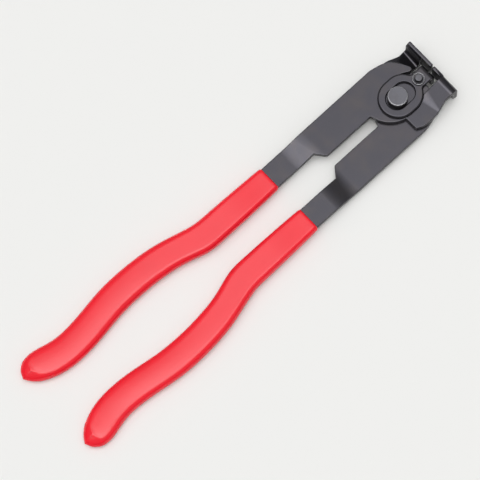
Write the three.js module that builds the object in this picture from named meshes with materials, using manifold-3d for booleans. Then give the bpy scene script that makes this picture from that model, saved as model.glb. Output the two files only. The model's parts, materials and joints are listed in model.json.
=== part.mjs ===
// Ear clamp pliers: two handle stampings crossed on a pivot rivet, each with a bent jaw blade, and
// a sliding ear plate that a guide rivet keeps centred between the jaws. The handles are dipped in vinyl.
// Millimetres. The tool lies flat with its jaws towards +Y. The origin is on the pivot axis, at the
// flat lower face of the pivot rivet. Inside the group, heights run from the plane between the stampings.

import * as THREE from "three";
import { mergeVertices } from "three/addons/utils/BufferGeometryUtils.js";
import Module from "manifold-3d";

const wasm = await Module();
wasm.setup();

// Overall size
const overallLength = 249; // jaw front to grip tip
const jawReach = 24; // pivot axis to the front face of the jaws
const tipReach = overallLength - jawReach;

// Fits
const clearance = 0.3; // gap between pieces that bear on each other
const overrun = 3; // how far a cutting or clipping solid runs past what it cuts
const halfTurn = Math.PI;
const quarterTurn = Math.PI / 2;

// Motion
const halfOpening = THREE.MathUtils.degToRad(14); // each handle turns this far from the ear plate
const earPlateTravel = 1; // how far the ear plate draws back as the handles open

// Handle stampings
const plateThickness = 3;
const headHalfWidth = 19.7; // pivot axis to the straight outer edge of a head
const slotHalfWidth = 2.6; // half the gap between the two heads behind the pivot
const neckWidth = 12;
const shoulderReach = 44; // where the head narrows to the neck
const shoulderRun = 4;
const joggleStart = 47.5; // where a stamping leaves its layer for the middle plane
const joggleRun = 8;
const fingerSetback = 1.7; // outer edge of the cam finger behind the back of the other jaw's blade
const fingerArcEnd = THREE.MathUtils.degToRad(11.5); // where that edge runs out, above the X axis
const heelRadius = 15.6; // rounded heel beside the pivot
const heelCentreX = -5.4;
const heelCentreY = 0.2;
const slotFillet = 0.9;
const armReach = 18.6; // pivot axis to the outer edge of a jaw arm
const armRear = 3.5; // rear edge of a jaw arm, behind the pivot axis
const armInner = 6.7; // pivot axis to the inner edge of a jaw arm
const notchLead = 1.35; // the flat plate beside the arm ends this far ahead of the guide rivet's axis
const armBendStart = 10.9; // where the arm leaves its layer

// Jaws
const jawRise = 6.8; // middle plane to the crown of the jaw bend
const jawDrop = 5.8; // middle plane to the cut edge of the blade
const jawStep = 0.5; // the blade's back layer ends this far short of the cut edge
const jawBevel = 1.2; // and slopes this much further away to the back of the blade
const jawBendRadius = 0.5; // inside radius of the jaw bend
const jawTipGap = 0.75; // between the closed jaw tips
const tongueThickness = 1.8;
const tongueRun = 0.9; // sloped root of the tongue on the jaw bend
const tongueCorner = 0.8;

// Ear plate
const earPlateThickness = 2;
const earRingRadius = 9.9;
const earSlotHalfWidth = 5.3;
const earSlotRear = -0.5; // centre of the slot's rear end
const earSlotWeb = 1.85; // steel between the slot and the guide rivet's hole
const earRingInsetShare = 0.163; // of the run between the slot's round ends, to those of the ring
const tabHalfWidth = 4.2;
const tabFillet = 0.7;
const lipDrop = 5.5; // middle plane to the lower edge of the lip
const lipGap = 1.6; // between the lip and the jaws' tongues
const lipBendRadius = 0.4;

// Pivot rivet and its washer
const pivotShankRadius = 4;
const pivotHeadRadius = 5;
const pivotHeadHeight = 5.75;
const pivotChamfer = 0.7;
const pivotTailRadius = 5.6;
const pivotTailHeight = 2.05;
const pivotWasherRadius = 7;
const washerThickness = 1.2;

// Guide rivet and its washer
const guideShare = 0.745; // of the way from the pivot axis to the back of the lip, jaws closed
const guideShoulderRadius = 2.9;
const guideNeckRadius = 2;
const guideCollarRadius = 3.2;
const guideCollarHeight = 0.85;
const guideStubRadius = 2.15;
const guideStubHeight = 1.1;
const guideTailHeight = 1.2;
const guideWasherRadius = 3.6;
const rivetChamfer = 0.35;

// Grips
const gripStart = 71.4; // pivot axis to the mouth of the grips
const gripReach = 29.3; // tool axis to the widest point of the grips
const gripThickness = 6.7;
const gripEdgeRadius = 2.4;
const coatThickness = 1.9; // vinyl beside the steel, with its fit
const coatLipShare = 0.42; // of the coat, at the mouth of the grip
const coatRunShare = 0.2; // of the grip's length, over which the coat grows to full thickness
const gripLength = tipReach - gripStart;

// Edges of a grip as shares of its length and reach, mouth first
const gripOuterShares = [
  [0, 0.7], [0.11, 0.722], [0.201, 0.734], [0.252, 0.739], [0.278, 0.747], [0.307, 0.784],
  [0.347, 0.843], [0.393, 0.907], [0.443, 0.955], [0.503, 0.987], [0.564, 1], [0.619, 0.993],
  [0.674, 0.962], [0.725, 0.92], [0.775, 0.888], [0.815, 0.878], [0.856, 0.894], [0.896, 0.947],
  [0.936, 0.993], [0.969, 0.953], [0.988, 0.87],
];
const gripTipShares = [[0.998, 0.79], [1, 0.757], [0.998, 0.722]];
const gripInnerShares = [
  [0, 0.24], [0.11, 0.224], [0.201, 0.219], [0.262, 0.218], [0.291, 0.224], [0.317, 0.258],
  [0.352, 0.319], [0.393, 0.38], [0.443, 0.422], [0.503, 0.452], [0.564, 0.459], [0.619, 0.449],
  [0.674, 0.414], [0.725, 0.371], [0.775, 0.342], [0.815, 0.333], [0.856, 0.339], [0.896, 0.372],
  [0.936, 0.438], [0.969, 0.537], [0.989, 0.643],
];

// Outer edge of a jaw arm from its rear corner, as shares of the arm's reach and of the jaws' reach
const armEdgeShares = [
  [0.892, -0.142], [0.984, 0], [1, 0.142], [0.989, 0.35], [0.962, 0.458], [0.909, 0.6],
  [0.885, 0.7], [0.9, 0.8],
];
// Front edge of the cam finger from its nose to the outer arc, as shares of that arc's radius
const fingerFrontShares = [
  [0.329, 0.804], [0.394, 0.824], [0.472, 0.793], [0.627, 0.704], [0.834, 0.549],
];
// Inner edge of the cam finger from the foot of its bay to its nose, as the same shares
const fingerInnerShares = [
  [0.344, 0.433], [0.403, 0.461], [0.42, 0.529], [0.367, 0.63], [0.327, 0.707], [0.316, 0.759],
];

// Worked-out heights from the middle plane, from the bottom up
const layerCentre = (plateThickness + clearance) / 2;
const layerTop = layerCentre + plateThickness / 2;
const washerTop = -layerTop - clearance;
const tailTop = washerTop - washerThickness - clearance;
const toolBottom = tailTop - pivotTailHeight;
const earPlateBottom = layerTop + clearance;
const earPlateTop = earPlateBottom + earPlateThickness;

// Worked-out plan sizes
const neckInner = headHalfWidth - neckWidth;
const jawOuter = armReach * armEdgeShares.at(-1)[0];
const bladeBack = jawReach - plateThickness;
const fingerRadius = bladeBack - fingerSetback;
const tongueBack = jawReach - tongueThickness;
const lipFront = tongueBack - lipGap;
const guideReach = (lipFront - earPlateThickness) * guideShare;
const armShoulder = guideReach + notchLead;
const earSlotFront = guideReach - guideNeckRadius - clearance - earSlotWeb - earSlotHalfWidth;
const earRingInset = (earSlotFront - earSlotRear) * earRingInsetShare;
const earRingRear = earSlotRear + earRingInset;
const earRingFront = earSlotFront - earRingInset;

// Counts of segments
const arcSteps = 8;
const roundSteps = 40;
const gripSteps = 76;
const gripEdgeSteps = 3;

// Turns a closed geometry into a solid that can be cut and joined.
function solid(geometry) {
  geometry.deleteAttribute("normal");
  geometry.deleteAttribute("uv");
  const welded = mergeVertices(geometry);
  const mesh = new wasm.Mesh({
    numProp: 3,
    vertProperties: new Float32Array(welded.attributes.position.array),
    triVerts: new Uint32Array(welded.index.array),
  });
  return new wasm.Manifold(mesh);
}

// Turns a solid back into a geometry with flat faces.
function geometryOf(body) {
  const mesh = body.getMesh();
  const geometry = new THREE.BufferGeometry();
  geometry.setAttribute("position", new THREE.BufferAttribute(mesh.vertProperties, 3));
  geometry.setIndex(new THREE.BufferAttribute(mesh.triVerts, 1));
  const faceted = geometry.toNonIndexed();
  faceted.computeVertexNormals();
  return faceted;
}

// A plan outline raised from one height to another.
function prism(outline, bottom, top, curveSegments = arcSteps) {
  const rise = { depth: top - bottom, bevelEnabled: false, curveSegments };
  const geometry = new THREE.ExtrudeGeometry(outline, rise);
  return solid(geometry.translate(0, 0, bottom));
}

// A side profile, drawn as distance along the tool and height, run across the tool from one X to another.
function crossRun(profile, from, to) {
  const geometry = new THREE.ExtrudeGeometry(profile, { depth: to - from, bevelEnabled: false });
  geometry.translate(0, 0, from);
  const across = new THREE.Matrix4().makeBasis(
    new THREE.Vector3(0, 1, 0),
    new THREE.Vector3(0, 0, 1),
    new THREE.Vector3(1, 0, 0),
  );
  return solid(geometry.applyMatrix4(across));
}

// A front profile, drawn as X and height, run along the tool from one Y to another.
function alongRun(profile, from, to) {
  const geometry = new THREE.ExtrudeGeometry(profile, { depth: to - from, bevelEnabled: false });
  geometry.rotateX(quarterTurn);
  return solid(geometry.translate(0, to, 0));
}

// A revolved piece, from radius and height points, on an axis at a distance along the tool.
function turned(points, along = 0) {
  const profile = points.map(([radius, height]) => new THREE.Vector2(radius, height));
  const geometry = new THREE.LatheGeometry(profile, roundSteps);
  return geometry.rotateX(quarterTurn).translate(0, along, 0);
}

// The point at an angle on a circle about a centre.
function circlePoint(centre, radius, angle) {
  return new THREE.Vector2(Math.cos(angle), Math.sin(angle)).multiplyScalar(radius).add(centre);
}

// Points of an arc about a centre.
function arcPoints(centre, radius, from, to) {
  const points = [];
  for (let step = 0; step <= arcSteps; step += 1) {
    points.push(circlePoint(centre, radius, THREE.MathUtils.lerp(from, to, step / arcSteps)));
  }
  return points;
}

// The closed side profile of a bent strip, from the middle line of its thickness.
function stripProfile(middle, thickness) {
  const headings = middle.slice(1).map((point, index) => point.clone().sub(middle[index]).normalize());
  const upper = [];
  const lower = [];
  middle.forEach((point, index) => {
    const incoming = headings[Math.max(index - 1, 0)];
    const outgoing = headings[Math.min(index, headings.length - 1)];
    const normal = new THREE.Vector2(-incoming.y - outgoing.y, incoming.x + outgoing.x).normalize();
    const mitre = thickness / 2 / normal.dot(new THREE.Vector2(-incoming.y, incoming.x));
    upper.push(point.clone().addScaledVector(normal, mitre));
    lower.push(point.clone().addScaledVector(normal, -mitre));
  });
  return new THREE.Shape([...lower, ...upper.reverse()]);
}

// The outline of a left grip, walked down its outer edge, round its tip and up its inner edge.
function gripLine() {
  const shares = [...gripOuterShares, ...gripTipShares, ...gripInnerShares.toReversed()];
  const points = shares.map(
    ([along, out]) => new THREE.Vector3(-gripReach * out, -gripStart - gripLength * along, 0),
  );
  const curve = new THREE.CatmullRomCurve3(points, false, "centripetal");
  return curve.getSpacedPoints(gripSteps).map((point) => new THREE.Vector2(point.x, point.y));
}

// How thick the coat is at a distance from the pivot axis.
function coatAt(reach) {
  const along = (reach - gripStart) / gripLength;
  const grown = THREE.MathUtils.smoothstep(along, 0, coatRunShare);
  return coatThickness * THREE.MathUtils.lerp(coatLipShare, 1, grown);
}

// The grip's outline moved inwards by the coat, less a fit.
function insideCoat(fit) {
  const line = gripLine();
  return line.map((point, index) => {
    const before = line[Math.max(index - 1, 0)];
    const after = line[Math.min(index + 1, line.length - 1)];
    const along = after.clone().sub(before).normalize();
    const inwards = new THREE.Vector2(-along.y, along.x);
    return point.clone().addScaledVector(inwards, coatAt(-point.y) - fit);
  });
}

// Where the guide rivet stands in the left stamping once each handle has turned by an angle.
function guidePlace(turn) {
  const reach = guideReach - (earPlateTravel * turn) / halfOpening;
  return new THREE.Vector2(-Math.sin(turn), Math.cos(turn)).multiplyScalar(reach);
}

// The wall of the cam notch that the guide rivet runs along, from the front to the end of its travel.
function camWall() {
  const reach = guideShoulderRadius + clearance;
  const sides = [];
  for (let step = 0; step <= arcSteps; step += 1) {
    const turn = (halfOpening * step) / arcSteps;
    const nudge = halfOpening / arcSteps / 2;
    const heading = guidePlace(turn + nudge).sub(guidePlace(turn - nudge)).normalize();
    sides.push({ place: guidePlace(turn), angle: Math.atan2(heading.x, -heading.y) });
  }
  const first = sides[0];
  const last = sides.at(-1);
  return [
    ...arcPoints(first.place, reach, 0, first.angle),
    ...sides.slice(1).map(({ place, angle }) => circlePoint(place, reach, angle)),
    ...arcPoints(last.place, reach, last.angle, -quarterTurn).slice(1),
  ];
}

// The plan outline of the left stamping: strap, head, heel, jaw arm, cam notch and finger.
function handleOutline() {
  const onFinger = ([x, y]) => new THREE.Vector2(-fingerRadius * x, fingerRadius * y);
  const outline = new THREE.Shape();
  const heelStart = -Math.acos((slotFillet - slotHalfWidth - heelCentreX) / heelRadius);
  const heelEnd = Math.asin((-armRear - heelCentreY) / heelRadius);
  const heelLow = heelCentreY + heelRadius * Math.sin(heelStart);
  outline.moveTo(-neckInner, -gripStart);
  outline.lineTo(-neckInner, -shoulderReach - shoulderRun);
  outline.lineTo(-slotHalfWidth, -shoulderReach);
  outline.lineTo(-slotHalfWidth, heelLow - slotFillet);
  outline.quadraticCurveTo(-slotHalfWidth, heelLow, slotFillet - slotHalfWidth, heelLow);
  outline.absarc(heelCentreX, heelCentreY, heelRadius, heelStart, heelEnd, false);
  const armEdge = armEdgeShares.map(([x, y]) => new THREE.Vector2(armReach * x, jawReach * y));
  outline.lineTo(armEdge[0].x, armEdge[0].y);
  outline.lineTo(armEdge[1].x, armEdge[1].y);
  outline.splineThru(armEdge.slice(2));
  outline.lineTo(jawOuter, jawReach + overrun);
  outline.lineTo(armInner, jawReach + overrun);
  outline.lineTo(armInner, armShoulder);
  outline.lineTo(guideShoulderRadius + clearance, armShoulder);
  camWall().forEach((point) => outline.lineTo(point.x, point.y));
  fingerInnerShares.map(onFinger).forEach((point) => outline.lineTo(point.x, point.y));
  outline.splineThru(fingerFrontShares.map(onFinger));
  const outerEnd = Math.atan2(fingerFrontShares.at(-1)[1], -fingerFrontShares.at(-1)[0]);
  outline.absarc(0, 0, fingerRadius, outerEnd, halfTurn - fingerArcEnd, false);
  outline.lineTo(-headHalfWidth, 0);
  outline.lineTo(-headHalfWidth, -gripStart);
  insideCoat(0).slice(1, -1).forEach((point) => outline.lineTo(point.x, point.y));
  return outline;
}

// The strap and the flat head: level with the middle plane in the grip, joggled up to its layer.
function strapProfile() {
  const middle = [
    [-tipReach - overrun, 0],
    [-joggleStart - joggleRun, 0],
    [-joggleStart, layerCentre],
    [armShoulder + overrun, layerCentre],
  ];
  return stripProfile(middle.map(([y, z]) => new THREE.Vector2(y, z)), plateThickness);
}

// The jaw arm: rises from its layer, bends over a crown and drops as the blade.
function armProfile() {
  const bend = jawBendRadius + plateThickness / 2;
  const inset = plateThickness / 2 + bend;
  const crown = new THREE.Vector2(jawReach - inset, jawRise - inset);
  const crease = new THREE.Vector2(armBendStart, layerCentre);
  const slope = Math.atan2(crown.y - crease.y, crown.x - crease.x) + Math.asin(bend / crown.distanceTo(crease));
  const middle = [
    new THREE.Vector2(-armRear - overrun, layerCentre),
    crease,
    ...arcPoints(crown, bend, quarterTurn + slope, 0),
    new THREE.Vector2(crown.x + bend, jawStep - jawDrop),
  ];
  return stripProfile(middle, plateThickness);
}

// The wedge cut off the free edge of the blade's back layer.
function bevelProfile() {
  const edge = jawStep - jawDrop;
  return new THREE.Shape([
    new THREE.Vector2(tongueBack, edge),
    new THREE.Vector2(bladeBack, edge + jawBevel),
    new THREE.Vector2(bladeBack - overrun, edge + jawBevel),
    new THREE.Vector2(bladeBack - overrun, edge - overrun),
    new THREE.Vector2(tongueBack, edge - overrun),
  ]);
}

// The thin front layer of the blade, which runs on past the arm as the squeezing tongue.
function tongueProfile() {
  const tip = jawTipGap / 2;
  const outline = new THREE.Shape();
  outline.moveTo(tip, tongueCorner - jawDrop);
  outline.quadraticCurveTo(tip, -jawDrop, tip + tongueCorner, -jawDrop);
  outline.lineTo(jawOuter, -jawDrop);
  outline.lineTo(jawOuter, 0);
  outline.lineTo(armInner + tongueRun, 0);
  outline.lineTo(armInner + tongueRun, jawDrop - 2 * tongueRun);
  outline.lineTo(armInner, jawDrop);
  outline.lineTo(tip + tongueCorner, jawDrop);
  outline.quadraticCurveTo(tip, jawDrop, tip, jawDrop - tongueCorner);
  return outline;
}

// One steel handle, as it lies on the left.
function handleGeometry() {
  const bore = new THREE.Shape().absarc(0, 0, pivotShankRadius + clearance, 0, 2 * halfTurn, false);
  const reach = jawRise + overrun;
  const arm = crossRun(armProfile(), armInner, armReach + overrun)
    .subtract(crossRun(bevelProfile(), armInner - overrun, armReach + 2 * overrun));
  const besideArm = new THREE.Shape([
    new THREE.Vector2(-gripReach - overrun, -tipReach - overrun),
    new THREE.Vector2(armReach + overrun, -tipReach - overrun),
    new THREE.Vector2(armReach + overrun, -armRear),
    new THREE.Vector2(armInner, -armRear),
    new THREE.Vector2(armInner, jawReach),
    new THREE.Vector2(-gripReach - overrun, jawReach),
  ]);
  const strap = crossRun(strapProfile(), -gripReach - overrun, armReach + overrun);
  const sheet = strap.intersect(prism(besideArm, -reach, reach)).add(arm);
  const blank = sheet.intersect(prism(handleOutline(), -reach, reach));
  const tongue = alongRun(tongueProfile(), tongueBack, jawReach);
  return geometryOf(blank.add(tongue).subtract(prism(bore, -reach, reach, roundSteps)));
}

// One dipped grip, as it lies on the left: a rounded skin with the strap's pocket inside.
function gripGeometry() {
  const skin = new THREE.ExtrudeGeometry(new THREE.Shape(gripLine()), {
    depth: gripThickness - 2 * gripEdgeRadius,
    bevelThickness: gripEdgeRadius,
    bevelSize: gripEdgeRadius,
    bevelOffset: -gripEdgeRadius,
    bevelSegments: gripEdgeSteps,
  });
  skin.translate(0, 0, gripEdgeRadius - gripThickness / 2);
  const pocketLine = insideCoat(clearance);
  pocketLine.unshift(new THREE.Vector2(pocketLine[0].x, -gripStart + overrun));
  pocketLine.push(new THREE.Vector2(pocketLine.at(-1).x, -gripStart + overrun));
  const pocketReach = plateThickness / 2 + clearance;
  const pocket = prism(new THREE.Shape(pocketLine), -pocketReach, pocketReach);
  return geometryOf(solid(skin).subtract(pocket));
}

// The ear plate: slotted ring over the pivot head, tab over the guide rivet, lip behind the jaw tips.
function earPlateGeometry() {
  const outline = new THREE.Shape();
  const shoulder = Math.acos((tabHalfWidth + tabFillet) / earRingRadius);
  const shoulderY = earRingFront + earRingRadius * Math.sin(shoulder);
  outline.absarc(0, earRingRear, earRingRadius, halfTurn, 2 * halfTurn, false);
  outline.absarc(0, earRingFront, earRingRadius, 0, shoulder, false);
  outline.quadraticCurveTo(tabHalfWidth, shoulderY + tabFillet, tabHalfWidth, shoulderY + 2 * tabFillet);
  outline.lineTo(tabHalfWidth, jawReach);
  outline.lineTo(-tabHalfWidth, jawReach);
  outline.lineTo(-tabHalfWidth, shoulderY + 2 * tabFillet);
  outline.quadraticCurveTo(-tabHalfWidth, shoulderY + tabFillet, -tabHalfWidth - tabFillet, shoulderY);
  outline.absarc(0, earRingFront, earRingRadius, halfTurn - shoulder, halfTurn, false);
  const bend = lipBendRadius + earPlateThickness / 2;
  const bendCentre = new THREE.Vector2(
    lipFront - earPlateThickness / 2 - bend,
    earPlateBottom + earPlateThickness / 2 - bend,
  );
  const middle = [
    new THREE.Vector2(-earRingRadius - overrun, earPlateBottom + earPlateThickness / 2),
    ...arcPoints(bendCentre, bend, quarterTurn, 0),
    new THREE.Vector2(bendCentre.x + bend, -lipDrop),
  ];
  const sheet = crossRun(stripProfile(middle, earPlateThickness), -headHalfWidth, headHalfWidth);
  const slot = new THREE.Shape();
  slot.absarc(0, earSlotRear, earSlotHalfWidth, halfTurn, 2 * halfTurn, false);
  slot.absarc(0, earSlotFront, earSlotHalfWidth, 0, halfTurn, false);
  const hole = new THREE.Shape().absarc(0, guideReach, guideNeckRadius + clearance, 0, 2 * halfTurn, false);
  const reach = earPlateTop + overrun;
  const plate = sheet.intersect(prism(outline, -reach, reach, roundSteps / 2));
  const slotCut = prism(slot, 0, reach, roundSteps / 2);
  const holeCut = prism(hole, 0, reach, roundSteps);
  return geometryOf(plate.subtract(slotCut).subtract(holeCut));
}

// The pivot rivet: peened tail below, shank through both stampings, tall head in the ear plate's slot.
function pivotRivetGeometry() {
  const headTop = layerTop + clearance + pivotHeadHeight;
  return turned([
    [0, toolBottom],
    [pivotTailRadius - pivotChamfer, toolBottom],
    [pivotTailRadius, toolBottom + pivotChamfer],
    [pivotTailRadius, tailTop],
    [pivotShankRadius, tailTop],
    [pivotShankRadius, layerTop + clearance],
    [pivotHeadRadius, layerTop + clearance],
    [pivotHeadRadius, headTop - pivotChamfer],
    [pivotHeadRadius - pivotChamfer, headTop],
    [0, headTop],
  ]);
}

// The guide rivet: shoulder in both cam notches, thin necks through the tab and the washer, and a
// collar and stub on top.
function guideRivetGeometry() {
  const collarBottom = earPlateTop + clearance;
  const collarTop = collarBottom + guideCollarHeight;
  const stubTop = collarTop + guideStubHeight;
  const tailBottom = tailTop - guideTailHeight;
  const shoulderTop = earPlateBottom - clearance;
  const shoulderBottom = washerTop + clearance;
  return turned([
    [0, tailBottom],
    [guideCollarRadius - rivetChamfer, tailBottom],
    [guideCollarRadius, tailBottom + rivetChamfer],
    [guideCollarRadius, tailTop],
    [guideNeckRadius, tailTop],
    [guideNeckRadius, shoulderBottom],
    [guideShoulderRadius, shoulderBottom],
    [guideShoulderRadius, shoulderTop],
    [guideNeckRadius, shoulderTop],
    [guideNeckRadius, collarBottom],
    [guideCollarRadius, collarBottom],
    [guideCollarRadius, collarTop - rivetChamfer],
    [guideCollarRadius - rivetChamfer, collarTop],
    [guideStubRadius, collarTop],
    [guideStubRadius, stubTop - rivetChamfer],
    [guideStubRadius - rivetChamfer, stubTop],
    [0, stubTop],
  ], guideReach);
}

// A flat washer under the lower stamping, round a shank.
function washerGeometry(outerRadius, shankRadius, along) {
  const bore = shankRadius + clearance;
  const washerBottom = washerTop - washerThickness;
  return turned([
    [bore, washerBottom],
    [outerRadius, washerBottom],
    [outerRadius, washerTop],
    [bore, washerTop],
    [bore, washerBottom],
  ], along);
}

// Materials
const blackenedSteel = { color: 0x4c4b51, roughness: 0.45, metalness: 0.7 };
const redVinyl = { color: 0xe0303a, roughness: 0.3, metalness: 0 };

function piece(name, geometry, finish) {
  const mesh = new THREE.Mesh(geometry, new THREE.MeshStandardMaterial(finish));
  mesh.name = name;
  return mesh;
}

// The right handle is the left one turned over about the tool's length.
function turnedOver(mesh) {
  mesh.rotation.y = halfTurn;
  return mesh;
}

const pliers = new THREE.Group();
pliers.position.z = -toolBottom;
pliers.add(
  piece("left_handle", handleGeometry(), blackenedSteel),
  turnedOver(piece("right_handle", handleGeometry(), blackenedSteel)),
  piece("left_grip", gripGeometry(), redVinyl),
  turnedOver(piece("right_grip", gripGeometry(), redVinyl)),
  piece("ear_plate", earPlateGeometry(), blackenedSteel),
  piece("pivot_rivet", pivotRivetGeometry(), blackenedSteel),
  piece("pivot_washer", washerGeometry(pivotWasherRadius, pivotShankRadius, 0), blackenedSteel),
  piece("guide_rivet", guideRivetGeometry(), blackenedSteel),
  piece("guide_washer", washerGeometry(guideWasherRadius, guideNeckRadius, guideReach), blackenedSteel),
);

export default pliers;
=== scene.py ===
"""Ear clamp pliers: crossed blackened stampings, a sliding ear plate, two rivets with their
washers and two dipped vinyl grips. Metres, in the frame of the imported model: jaws towards +Y, lying
flat."""
import json
import math

import bmesh
import bpy
from bpy.props import FloatProperty, FloatVectorProperty, IntProperty, PointerProperty
from mathutils import Matrix, Vector


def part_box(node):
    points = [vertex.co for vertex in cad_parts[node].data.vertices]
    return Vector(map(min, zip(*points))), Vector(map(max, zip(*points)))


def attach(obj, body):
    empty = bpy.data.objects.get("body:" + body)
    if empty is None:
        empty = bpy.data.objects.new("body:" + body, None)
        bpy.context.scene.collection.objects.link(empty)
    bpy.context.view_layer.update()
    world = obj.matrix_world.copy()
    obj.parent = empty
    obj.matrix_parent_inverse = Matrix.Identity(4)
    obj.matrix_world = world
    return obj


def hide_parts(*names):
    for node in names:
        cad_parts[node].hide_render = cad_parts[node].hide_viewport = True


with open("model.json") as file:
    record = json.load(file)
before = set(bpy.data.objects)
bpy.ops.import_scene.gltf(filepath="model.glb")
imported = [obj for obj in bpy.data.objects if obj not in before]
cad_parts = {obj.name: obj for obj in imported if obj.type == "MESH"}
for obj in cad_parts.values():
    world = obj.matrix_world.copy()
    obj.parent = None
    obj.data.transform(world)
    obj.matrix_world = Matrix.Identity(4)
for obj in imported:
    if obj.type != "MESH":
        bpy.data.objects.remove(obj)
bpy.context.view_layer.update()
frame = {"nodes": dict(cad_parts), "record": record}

bl_info = {
    "name": "Ear Clamp Pliers",
    "version": (1, 0, 0),
    "blender": (4, 5, 0),
    "location": "View3D > Sidebar > Pliers",
    "description": "Dresses a packed model of ear clamp pliers in blackened steel and dipped vinyl",
    "category": "Object",
}

MM = 0.001

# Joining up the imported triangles. Places this near to each other count as the same place.
WELD_REACH = 0.002 * MM
FLAT_ANGLE = math.radians(1.0)

# Telling the edges of a steel piece apart
CUT_EDGE_ANGLE = math.radians(28.0)  # a cut edge turns by more, a bend between broad faces by less
BEND_ANGLE = math.radians(5.0)
BROAD_FACE = 20.0 * MM * MM
BEND_STRIP = 3.0 * MM * MM  # the facets in the inside of a jaw bend are smaller
HOLE_MARGIN = 0.6 * MM  # the rivet's hole in the ear plate is this much wider at most
SHARP_SHADING_ANGLE = math.radians(50.0)

# Facets across the roundings
CUT_EDGE_SEGMENTS = 3
BEND_SEGMENTS = 6
JAW_BEND_SEGMENTS = 8
PLATE_SEGMENTS = 6

# The dish in the guide rivet's collar
DISH_SLANT = 0.08  # how much smaller it is at its bottom, as a share
DISH_RIM_REACH = 0.01 * MM  # corners this near to its outermost one lie on its rim

# Mesh attributes: where the blackening is rubbed, and the steep walls, which are cut through on the
# stampings and all take a darker colour that is partly painted shade
RUBBED = "rubbed"
SHEARED = "sheared"
# Every steep face, the rivets' walls too, takes the darker wall colour, which is partly painted shade
STEEP_FACE = 0.4  # a face is a cut wall where its normal's height is less

# Places of the colour sockets on a Mix node, whose names repeat those of its number sockets
MIX_FACTOR = 0
MIX_FIRST = 6
MIX_SECOND = 7
MIX_RESULT = 2


def linear(hex_colour):
    """An sRGB hex colour as linear red, green, blue and alpha."""
    parts = [int(hex_colour[start:start + 2], 16) / 255 for start in (1, 3, 5)]
    light = (part / 12.92 if part <= 0.04045 else ((part + 0.055) / 1.055) ** 2.4 for part in parts)
    return (*light, 1.0)


def length(name, description, default, low, high):
    """A length that a user can change, in metres."""
    return FloatProperty(
        name=name, description=description, default=default, min=low, max=high,
        subtype="DISTANCE", unit="LENGTH", precision=5)


def colour(name, description, default):
    """A colour that a user can change, from its sRGB hex value."""
    return FloatVectorProperty(
        name=name, description=description, default=linear(default), size=4, min=0.0, max=1.0,
        subtype="COLOR")


def angle(name, description, default):
    """An angle that a user can change, from degrees."""
    return FloatProperty(
        name=name, description=description, default=math.radians(default), subtype="ANGLE",
        unit="ROTATION")


class SteelSettings(bpy.types.PropertyGroup):
    """Sizes and colours of the blackened steel."""

    edge_break: length(
        "Edge Break", "Radius of the stampings' tumbled edges", 0.42 * MM, 0.05 * MM, 0.45 * MM)
    rivet_break: length(
        "Rivet Break", "Width of the rounded edges on the pivot rivet and the washers", 0.14 * MM,
        0.02 * MM, 0.2 * MM)
    bend_width: length(
        "Bend Width", "Width of the rounding at the joggles and the jaws' arms", 3.4 * MM, 0.4 * MM,
        4.0 * MM)
    jaw_bend: length(
        "Jaw Bend", "Inside radius of the bend behind a jaw", 2.0 * MM, 0.5 * MM, 2.5 * MM)
    rim_width: length(
        "Rim Width", "Width of the chamfer round the pivot's head", 0.3 * MM, 0.1 * MM, 0.7 * MM)
    dish_depth: length(
        "Dish Depth", "Depth of the dish in the guide rivet's collar", 0.5 * MM, 0.0, 0.6 * MM)
    stub_rise: length(
        "Stub Rise", "How much taller the guide rivet's stub is made", 0.9 * MM, 0.0, 1.4 * MM)
    collar_break: length(
        "Collar Break", "Width of the guide rivet's rounded edges", 0.28 * MM, 0.02 * MM, 0.3 * MM)
    plate_round: length(
        "Plate Rounding", "Radius of the ear plate's upper edges", 0.9 * MM, 0.1 * MM, 1.2 * MM)
    slot_round: length(
        "Slot Rounding", "Radius of the slot's upper edge", 0.5 * MM, 0.1 * MM, 1.2 * MM)
    oxide: colour("Oxide", "Blackened steel", "#403f44")
    thin_oxide: colour("Thin Oxide", "Blackened steel where the oxide is thin", "#464345")
    # Darker than the oxide partly because cut steel is duller and partly as painted shade: it goes on
    # every steep wall, the turned rivets' too
    shear: colour("Cut Walls", "Dull walls where the steel is cut through", "#302e30")
    rivet: colour("Rivet", "Blackened rivets, whose turned faces are a little brighter", "#55555a")
    bare: colour("Rubbed Steel", "Edges rubbed towards bare steel", "#b8b8bb")
    roughness: FloatProperty(
        name="Roughness", description="Roughness of the blackened stampings", default=0.2, min=0.1,
        max=0.9, subtype="FACTOR")


class GripSettings(bpy.types.PropertyGroup):
    """Sizes and colour of the dipped grips."""

    edge_radius: length(
        "Edge Radius", "Radius of the coat's long edges", 3.2 * MM, 1.0 * MM, 3.3 * MM)
    mouth_radius: length(
        "Mouth Radius", "Width of the long edges' rounding at the mouth", 2.1 * MM, 1.0 * MM,
        3.2 * MM)
    lip_radius: length(
        "Lip Radius", "Rounding of the lip at the mouth", 1.1 * MM, 0.1 * MM, 1.2 * MM)
    lip_drop: length(
        "Lip Drop", "How much lower the coat is at its mouth", 0.5 * MM, 0.0, 1.0 * MM)
    crown: length(
        "Crown", "How far the coat's middle stands up near the tips", 0.4 * MM, 0.0, 1.0 * MM)
    groove: length(
        "Groove", "Depth of the faint groove along the crown", 0.08 * MM, 0.0, 0.2 * MM)
    tip_pull: FloatProperty(
        name="Tip Pull", description="How far the flat is drawn in from the tip, as a share",
        default=0.35, min=0.0, max=0.6, subtype="FACTOR")
    fit: length("Fit", "Gap between the coat and the steel", 0.05 * MM, 0.01 * MM, 0.3 * MM)
    stations: IntProperty(
        name="Stations", description="Sections along a grip", default=40, min=20, max=120)
    vinyl: colour("Vinyl", "Dipped vinyl", "#f9142a")


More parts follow.
